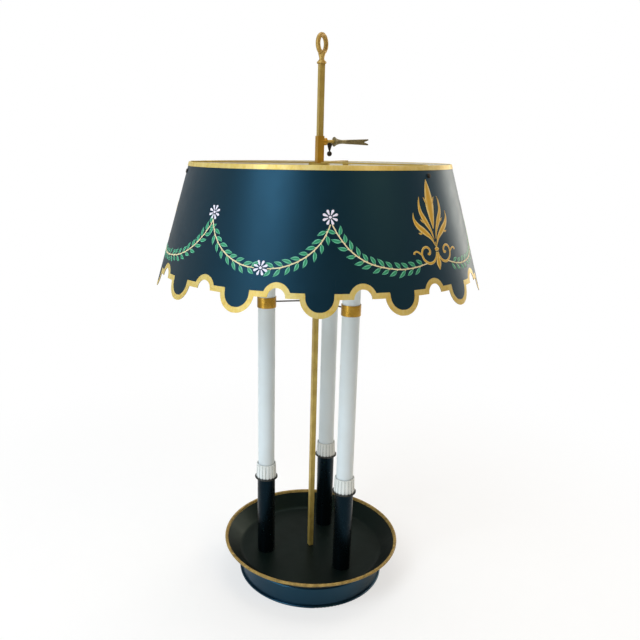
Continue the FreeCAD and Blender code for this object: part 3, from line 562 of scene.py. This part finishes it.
def half_scallop():
    """Hem and inner trim line, from the top of a notch out to a lobe's tip.

    A point is (distance from the notch, height above the tips). Both lists have the same length.
    """
    tip = SHADE_FOOT * math.sin(math.radians(HALF_PITCH))
    depth = STEP + LOBE_FLAT
    round_radius = (LOBE_HALF ** 2 + depth ** 2) / depth / 2
    centre = (tip, round_radius - LOBE_FLAT)
    notch_centre = (0.0, STEP)
    lobe_edge = tip - LOBE_HALF
    inner_notch = NOTCH + TRIM
    inner_round = round_radius - TRIM
    trim_level = STEP + TRIM
    notch_meet = math.degrees(math.asin(TRIM / inner_notch))
    inner_edge = math.degrees(math.asin((trim_level - centre[1]) / inner_round))
    outer_edge = math.degrees(math.asin((STEP - centre[1]) / round_radius))
    hem = arc(notch_centre, NOTCH, 90, 0, ARC_STEPS)
    trim = arc(notch_centre, inner_notch, 90, notch_meet, ARC_STEPS)
    trim_start = trim[-1][0]
    trim_end = centre[0] - inner_round * math.cos(math.radians(inner_edge))
    for index in range(1, FLAT_STEPS + 1):
        share = index / FLAT_STEPS
        hem.append((NOTCH + (lobe_edge - NOTCH) * share, STEP))
        trim.append((trim_start + (trim_end - trim_start) * share, trim_level))
    hem += arc(centre, round_radius, 180 - outer_edge, 270, ARC_STEPS)[1:]
    trim += arc(centre, inner_round, 180 - inner_edge, 270, ARC_STEPS)[1:]
    hem[-1] = (tip, 0.0)
    trim[-1] = (tip, TRIM)
    hem = [(x, max(0.0, y)) for x, y in hem]
    return hem, trim, tip


def scallop_rows():
    """The hem and the trim line all round the shade, as (degrees, height)."""
    hem, trim, tip = half_scallop()
    rows = ([], [])
    for lobe in range(LOBES):
        middle = FIRST_NOTCH + 2 * HALF_PITCH * lobe
        for row, half in zip(rows, (hem, trim)):
            left = [(middle - x / tip * HALF_PITCH, y) for x, y in reversed(half)]
            right = [(middle + x / tip * HALF_PITCH, y) for x, y in half]
            row.extend(left[:-1] + right[:-1])
    return rows


def mesh_piece(name, points, faces, finishes, body, tints=None, across=None):
    """A smooth mesh that rides on a body; tints pick a finish for each face."""
    mesh = bpy.data.meshes.new(name)
    mesh.from_pydata(points, [], faces)
    for finish in finishes:
        mesh.materials.append(FINISHES[finish])
    if tints is not None:
        mesh.polygons.foreach_set("material_index", tints)
    if across is not None:
        attribute = mesh.attributes.new("across", "FLOAT", "POINT")
        attribute.data.foreach_set("value", across)
    mesh.polygons.foreach_set("use_smooth", [True] * len(mesh.polygons))
    mesh.validate()
    mesh.set_sharp_from_angle(angle=SHARP_ANGLE)
    piece = bpy.data.objects.new(name, mesh)
    bpy.context.scene.collection.objects.link(piece)
    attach(piece, body)
    return piece


def build_shade():
    """The scalloped sheet: up the outside ring by ring, over the top and down the lining."""
    hem, trim = scallop_rows()
    count = len(hem)
    even = [hem[0][0] + 360.0 * index / count for index in range(count)]
    across = SHADE_SHEET * math.cos(SHADE_LEAN)
    outside = [hem, trim] + [[(degrees, level) for degrees in even] for level in RINGS]
    rows = [(row, 0.0) for row in outside] + [(row, -across) for row in reversed(outside)]
    points = []
    for row, lift in rows:
        for degrees, level in row:
            angle = math.radians(PHOTO_SIDE + degrees)
            radius = cone_radius(level) + lift
            height = SHADE_LEVEL + level
            points.append((radius * math.cos(angle) * MM, radius * math.sin(angle) * MM, height * MM))
    faces = []
    tints = []
    last = len(rows)
    for index in range(last):
        low = index * count
        high = ((index + 1) % last) * count
        if index == 0:
            tint = TRIM_PAINT
        elif index < len(outside):
            tint = OUTSIDE
        elif index < last - 1:
            tint = LINING
        else:
            tint = CUT_EDGE
        for step in range(count):
            after = (step + 1) % count
            faces.append((low + step, low + after, high + after, high + step))
            tints.append(tint)
    shade_piece = mesh_piece(
        "scalloped_shade", points, faces, ["shade_tole", "gilt_paint", "shade_inside", "cut_edge"],
        "shade", tints)
    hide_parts("shade_wall")


# Ornament: every stroke of the brush is a low ribbon laid on the cone.

def curve_through(points, steps):
    """Points along a smooth curve through the given ones."""
    padded = [points[0]] + list(points) + [points[-1]]
    out = []
    for index in range(len(points) - 1):
        a, b, c, d = (Vector(p) for p in padded[index:index + 4])
        for step in range(steps):
            t = step / steps
            out.append(0.5 * (2 * b + (c - a) * t + (2 * a - 5 * b + 4 * c - d) * t * t
                              + (3 * b - a - 3 * c + d) * t ** 3))
    out.append(Vector(points[-1]))
    return out


# Across a stroke: place from side to side, rise towards the crown, how near the edge.
BRUSH_PROFILE = ((1, 0.0, 1.0), (0.45, 0.8, 0.45), (0, 1.0, 0.0), (-0.45, 0.8, 0.45), (-1, 0.0, 1.0))
BRUSH_CROWN = 0.22
THINNEST = 0.05


class Brush:
    """Collects strokes of one paint and lays them on the shade as one piece."""

    def __init__(self, name, finish, lift):
        self.name = name
        self.finish = finish
        self.lift = lift
        self.points = []
        self.faces = []
        self.across = []

    def stroke(self, degrees, level, points, widths, steps):
        """Points are millimetres right and up from the place given; widths go with them."""
        path = curve_through([(x, y, width) for (x, y), width in zip(points, widths)], steps)
        first = len(self.points)
        for index, spot in enumerate(path):
            before = path[max(index - 1, 0)]
            after = path[min(index + 1, len(path) - 1)]
            along = Vector((after.x - before.x, after.y - before.y)).normalized()
            side = Vector((-along.y, along.x))
            half = max(spot.z, THINNEST) / 2
            for place, rise, edge in BRUSH_PROFILE:
                x = spot.x + side.x * half * place
                y = spot.y + side.y * half * place
                height = level + y * math.cos(SHADE_LEAN)
                turn = degrees + math.degrees(x / cone_radius(height))
                self.points.append(on_cone(turn, height, self.lift + BRUSH_CROWN * rise))
                self.across.append(edge)
        row = len(BRUSH_PROFILE)
        for index in range(len(path) - 1):
            for strip in range(row - 1):
                low = first + index * row + strip
                self.faces.append((low, low + 1, low + row + 1, low + row))

    def finish_piece(self):
        mesh_piece(self.name, self.points, self.faces, [self.finish], "shade",
                   across=self.across)


# Each palmette: where it is, then how far to the flower on its left and on its right.
PALMETTES = ((-92.0, 36.0, 50.7), (41.5, 39.5, 38.0), (155.0, 38.0, 38.0))
KNOT_LEVEL = 61.2
FLOWER_LEVEL = 96.5
MIDDLE_FLOWER_LEVEL = 46.0

# Garlands as degrees from the palmette and height over the hem; swags as shares of the span.
GARLAND_END = 39.5
LEFT_GARLAND = (
    (-5.3, 48.6), (-9.5, 46.2), (-13.5, 45.0), (-17.6, 45.1), (-24.0, 48.8), (-29.0, 55.2),
    (-33.2, 65.0), (-36.4, 77.0), (-38.4, 87.0), (-38.9, 89.5))
RIGHT_GARLAND = (
    (5.3, 48.2), (10.0, 44.4), (14.5, 42.6), (19.0, 42.8), (24.0, 44.6), (28.5, 49.0),
    (32.8, 57.4), (36.2, 69.0), (38.8, 82.0), (39.6, 89.5))
SWAG_SHAPE = (
    (1.0, 0.86), (0.985, 0.80), (0.95, 0.70), (0.89, 0.56), (0.80, 0.415), (0.68, 0.27), (0.55, 0.16),
    (0.43, 0.085), (0.28, 0.02), (0.10, -0.01))
LEAF_SPACING = 9.6
LEAF_LENGTH = 10.2
LEAF_WIDTH = 3.9
LEAF_ANGLE = 37.0
LEAF_SWING = 4.0
LEAF_CHANGE = 0.07
LEAF_BEND = 0.5
LEAF_STALK = 1.6
TWIG = 2.6
STAGGER = {1: 2.4, -1: -1.2}
STEM_WIDTH = 1.25
STEM_END = 0.9
BARE_END = 6.5
FIRST_LEAF = LEAF_SPACING * 0.8
STEM_STEPS = 6
LEAF_PLACING_STEPS = 12
BLADE_STEPS = 4
TWIG_STEPS = 2
BLADE_SHARES = (0.3, 0.62)
BLADE_WIDTHS = (0.5, LEAF_WIDTH * 0.92, LEAF_WIDTH * 0.86, 0.15)
TWIG_WIDTHS = (0.9, 0.45)
# Leaves differ a little from pair to pair and side to side, by these turns of a sine.
SWING_TURN = 2.3
SIZE_TURN = 1.7
SIZE_SIDE_TURN = 2.1


def garland(stems, leaves, degrees, path):
    """A stem with leaf pairs; the path is in degrees from the place given, and height."""
    middle = path[len(path) // 2]
    level = middle[1]
    flat = []
    for turn, height in path:
        x = math.radians(turn - middle[0]) * cone_radius(height)
        flat.append((x, (height - level) / math.cos(SHADE_LEAN)))
    place = degrees + middle[0]
    widths = [STEM_WIDTH] * len(flat)
    widths[-1] = STEM_END
    stems.stroke(place, level, flat, widths, STEM_STEPS)
    line = curve_through([(x, y, 0.0) for x, y in flat], LEAF_PLACING_STEPS)
    whole = sum((after - before).length for before, after in zip(line, line[1:]))
    travelled = 0.0
    due = FIRST_LEAF
    pair = 0
    for before, after in zip(line, line[1:]):
        step = (after - before).length
        travelled += step
        if travelled < due or travelled > whole - BARE_END:
            continue
        due += LEAF_SPACING
        pair += 1
        heading = math.atan2(after.y - before.y, after.x - before.x)
        for side in (1, -1):
            root = after + Vector((math.cos(heading), math.sin(heading), 0)) * STAGGER[side]
            swing = LEAF_SWING * math.sin(pair * SWING_TURN + side)
            angle = heading + side * math.radians(LEAF_ANGLE + swing)
            ahead = Vector((math.cos(angle), math.sin(angle), 0))
            bend = Vector((-ahead.y, ahead.x, 0)) * side * LEAF_BEND
            start = root + ahead * LEAF_STALK
            change = math.sin(pair * SIZE_TURN + side * SIZE_SIDE_TURN)
            size = LEAF_LENGTH * (1.0 + LEAF_CHANGE * change)
            belly = [start + ahead * size * share + bend for share in BLADE_SHARES]
            blade = [start, *belly, start + ahead * size]
            leaves.stroke(place, level, [(p.x, p.y) for p in blade], BLADE_WIDTHS, BLADE_STEPS)
            twig = [root, root + ahead * TWIG]
            stems.stroke(place, level, [(p.x, p.y) for p in twig], TWIG_WIDTHS, TWIG_STEPS)


PETALS = 8
FLOWER_RADIUS = 8.0
PETAL_SHARES = (0.3, 0.6, 0.86, 1.0)
PETAL_WIDTHS = (0.7, 1.9, 2.6, 1.0)
HEART = ((-1.6, 0), (0, 0), (1.6, 0))
HEART_WIDTHS = (0.8, 3.0, 0.8)
FLOWER_STEPS = 4


def flower(petals, hearts, degrees, level):
    """Petals round a heart, with bare enamel between them."""
    for index in range(PETALS):
        angle = math.radians(360 / PETALS * (index + 0.5))
        ahead = Vector((math.cos(angle), math.sin(angle)))
        spots = [ahead * FLOWER_RADIUS * share for share in PETAL_SHARES]
        petals.stroke(degrees, level, [(p.x, p.y) for p in spots], PETAL_WIDTHS, FLOWER_STEPS)
    hearts.stroke(degrees, level, HEART, HEART_WIDTHS, FLOWER_STEPS)


# Palmette strokes, in millimetres from the knot: points, widths, steps between points.

SPEAR = (((0, 22), (0, 34), (0, 46), (0, 54), (0, 60), (0, 67), (0, 74)),
         (1.2, 8.0, 12.6, 11.6, 9.6, 6.0, 0.3), 4)
SIDE_STROKES = (
    (((4.6, 48), (6.2, 51.5), (8.8, 55.5)),
     (1.6, 2.4, 0.3), 5),
    (((1.6, 11), (4.6, 20), (10.6, 30), (16.0, 40), (16.6, 49), (14.6, 56)),
     (0.6, 3.0, 6.0, 4.6, 2.6, 0.3), 5),
    (((12.6, 29), (15.4, 30.4), (18.4, 32.6)),
     (1.6, 2.0, 0.3), 5),
    (((1.2, 3.6), (5.8, 12.0), (14.6, 19.4), (23.0, 26.0), (27.0, 33.0), (26.6, 40)),
     (0.6, 3.4, 6.4, 5.6, 2.8, 0.3), 5),
    (((17.6, 18.6), (20.6, 17.8), (23.6, 18.6)),
     (1.6, 2.2, 0.3), 5),
    (((0.8, -2.6), (3.4, -8.6), (8.6, -13.0), (15.4, -13.6), (21.6, -9.6), (23.8, -3.4),
      (21.0, 2.2), (15.6, 3.4), (11.6, 0.2), (12.4, -3.8), (15.6, -3.4)),
     (2.0, 2.4, 2.8, 2.8, 2.6, 2.4, 2.4, 2.4, 2.4, 2.8, 2.0), 6),
    (((23.0, -6.0), (26.4, -2.4), (30.4, -0.4), (33.8, -1.2), (34.4, -3.2)),
     (1.0, 1.8, 1.8, 1.8, 2.6), 5),
)
KNOT = (((-3.0, -0.4), (0, 0.6), (3.0, -0.4)), (2.4, 4.4, 2.4), 5)
DROP = (((0, -4.4), (0, -10), (0, -15.4), (0, -21.8)), (1.6, 5.0, 7.2, 0.3), 5)
SHORT_STEM = (((0, 0.6), (0, 4.0), (0, 8.0)), (1.4, 1.6, 0.8), 5)


def palmette(gold, degrees):
    """A spear leaf, two curved leaves a side, a knot, two scrolls and a drop."""
    gold.stroke(degrees, KNOT_LEVEL, *SPEAR)
    for side in (1, -1):
        for points, widths, steps in SIDE_STROKES:
            mirrored = [(x * side, y) for x, y in points]
            gold.stroke(degrees, KNOT_LEVEL, mirrored, widths, steps)
    for stroke in (KNOT, DROP, SHORT_STEM):
        gold.stroke(degrees, KNOT_LEVEL, *stroke)


def paint_ornament():
    """Palmettes with a garland on each side, and a swag with a low flower between them."""
    stems = Brush("garland_stems", "stem_cream", 0.14)
    leaves = Brush("garland_leaves", "leaf_green", 0.06)
    petals = Brush("flower_petals", "petal_white", 0.1)
    hearts = Brush("flower_hearts", "petal_white", 0.2)
    gold = Brush("palmette_gold", "ornament_gold", 0.1)
    rise = FLOWER_LEVEL - MIDDLE_FLOWER_LEVEL
    for place, (degrees, left, right) in enumerate(PALMETTES):
        palmette(gold, degrees)
        for reach, shape in ((left, LEFT_GARLAND), (right, RIGHT_GARLAND)):
            garland(stems, leaves, degrees, [(x * reach / GARLAND_END, y) for x, y in shape])
        flower(petals, hearts, degrees - left, FLOWER_LEVEL)
        flower(petals, hearts, degrees + right, FLOWER_LEVEL)
        after, after_left, _ = PALMETTES[(place + 1) % len(PALMETTES)]
        gap = (after - after_left - degrees - right) % 360.0
        middle = degrees + right + gap / 2
        for span in (-gap / 2, gap / 2):
            path = [(span * x, MIDDLE_FLOWER_LEVEL + rise * y) for x, y in SWAG_SHAPE]
            garland(stems, leaves, middle, path)
        flower(petals, hearts, middle, MIDDLE_FLOWER_LEVEL)
    for brush in (stems, leaves, petals, hearts, gold):
        brush.finish_piece()


# Studio: a pale floor, a white surround and soft lamps.

WHITE = (1, 1, 1, 1)
FLOOR_REACH = 6.0
FLOOR_ROUGHNESS = 0.9
PAPER_SCALE = 30.0
PAPER = colour_of((250, 250, 250))
PAPER_SHADE = colour_of((246, 246, 246))
SHADOW_SEEN_TO = 0.12
WHITE_FROM = 0.9
WHITE_SHARE_NEAR = 0.6


def build_floor():
    """Pale paper that the camera sees whiter the farther it is from the lamp."""
    mesh = bpy.data.meshes.new("studio_floor")
    corners = [(x * FLOOR_REACH, y * FLOOR_REACH, 0) for x, y in ((-1, -1), (1, -1), (1, 1), (-1, 1))]
    mesh.from_pydata(corners, [], [(0, 1, 2, 3)])
    floor = bpy.data.objects.new("studio_floor", mesh)
    bpy.context.scene.collection.objects.link(floor)
    material = bpy.data.materials.new("pale_floor")
    material.use_nodes = True
    tree = material.node_tree
    surface = tree.nodes["Principled BSDF"]
    surface.inputs["Roughness"].default_value = FLOOR_ROUGHNESS
    where = add_node(tree, "ShaderNodeTexCoord").outputs["Object"]
    paper = noise(tree, where, PAPER_SCALE)
    colour = blend_colour(tree, paper.outputs["Fac"], PAPER, PAPER_SHADE)
    tree.links.new(colour, surface.inputs["Base Color"])
    away = add_node(tree, "ShaderNodeVectorMath", operation="LENGTH")
    tree.links.new(where, away.inputs[0])
    share = ramp(tree, away.outputs["Value"], SHADOW_SEEN_TO, WHITE_FROM, WHITE_SHARE_NEAR, 1.0)
    seen = add_node(tree, "ShaderNodeLightPath").outputs["Is Camera Ray"]
    white = add_node(tree, "ShaderNodeEmission")
    white.inputs["Color"].default_value = WHITE
    white.inputs["Strength"].default_value = 1.0
    both = add_node(tree, "ShaderNodeMixShader")
    tree.links.new(maths(tree, "MULTIPLY", seen, share), both.inputs[0])
    tree.links.new(surface.outputs[0], both.inputs[1])
    tree.links.new(white.outputs[0], both.inputs[2])
    tree.links.new(both.outputs[0], tree.nodes["Material Output"].inputs["Surface"])
    mesh.materials.append(material)


IN_FRONT = (0.07, 0.08, 0.09, 1)
BEHIND = (0.8, 0.79, 0.76, 1)
SURROUND_STRENGTH = 0.7
DIM_UNTIL = -0.75
PALE_FROM = 0.35


def build_world():
    """A dim room in front, a pale wall behind, and plain white where the camera looks."""
    world = bpy.data.worlds.new("studio_surround")
    bpy.context.scene.world = world
    world.use_nodes = True
    tree = world.node_tree
    for node in list(tree.nodes):
        tree.nodes.remove(node)
    output = add_node(tree, "ShaderNodeOutputWorld")
    around = add_node(tree, "ShaderNodeTexCoord").outputs["Generated"]
    parts = add_node(tree, "ShaderNodeSeparateXYZ")
    tree.links.new(around, parts.inputs[0])
    behind = ramp(tree, parts.outputs["Y"], DIM_UNTIL, PALE_FROM)
    light = add_node(tree, "ShaderNodeBackground")
    tree.links.new(blend_colour(tree, behind, IN_FRONT, BEHIND), light.inputs["Color"])
    light.inputs["Strength"].default_value = SURROUND_STRENGTH
    white = add_node(tree, "ShaderNodeBackground")
    white.inputs["Color"].default_value = WHITE
    white.inputs["Strength"].default_value = 1.0
    path = add_node(tree, "ShaderNodeLightPath")
    mix = add_node(tree, "ShaderNodeMixShader")
    tree.links.new(path.outputs["Is Camera Ray"], mix.inputs[0])
    tree.links.new(light.outputs[0], mix.inputs[1])
    tree.links.new(white.outputs[0], mix.inputs[2])
    tree.links.new(mix.outputs[0], output.inputs["Surface"])


# Each lamp: name, place, aim, width, height, power, colour.
LAMPS = (
    ("window_left", (-1.1, -1.25, 1.75), (0, 0, 0.45), 0.9, 1.1, 27.0, (0.82, 0.92, 1.0)),
    ("low_front", (-1.5, -1.4, 0.35), (0, 0, 0.25), 0.9, 0.5, 9.5, (0.88, 0.96, 1.0)),
    ("warm_room", (1.25, -1.15, 1.75), (0, 0, 0.45), 1.0, 1.0, 7.5, (1.0, 0.66, 0.32)),
    ("soft_top", (0.0, 0.5, 2.2), (0, 0, 0.3), 1.2, 1.2, 12.0, (1.0, 0.98, 0.96)),
    ("wall_right", (1.6, 1.4, 1.0), (0, 0, 0.45), 0.7, 1.6, 15.0, (1.0, 0.92, 0.78)),
)


def build_lamps():
    """Soft rectangular lamps, each turned to its aim."""
    for name, place, aim, width, height, power, colour in LAMPS:
        data = bpy.data.lights.new(name, "AREA")
        data.shape = "RECTANGLE"
        data.size = width
        data.size_y = height
        data.energy = power
        data.color = colour
        lamp = bpy.data.objects.new(name, data)
        lamp.location = place
        direction = Vector(aim) - Vector(place)
        lamp.rotation_euler = direction.to_track_quat("-Z", "Y").to_euler()
        bpy.context.scene.collection.objects.link(lamp)


bpy.context.scene.view_settings.view_transform = "Standard"
aim_camera()
build_world()
build_floor()
build_lamps()
dress_nodes()
build_shade()
paint_ornament()
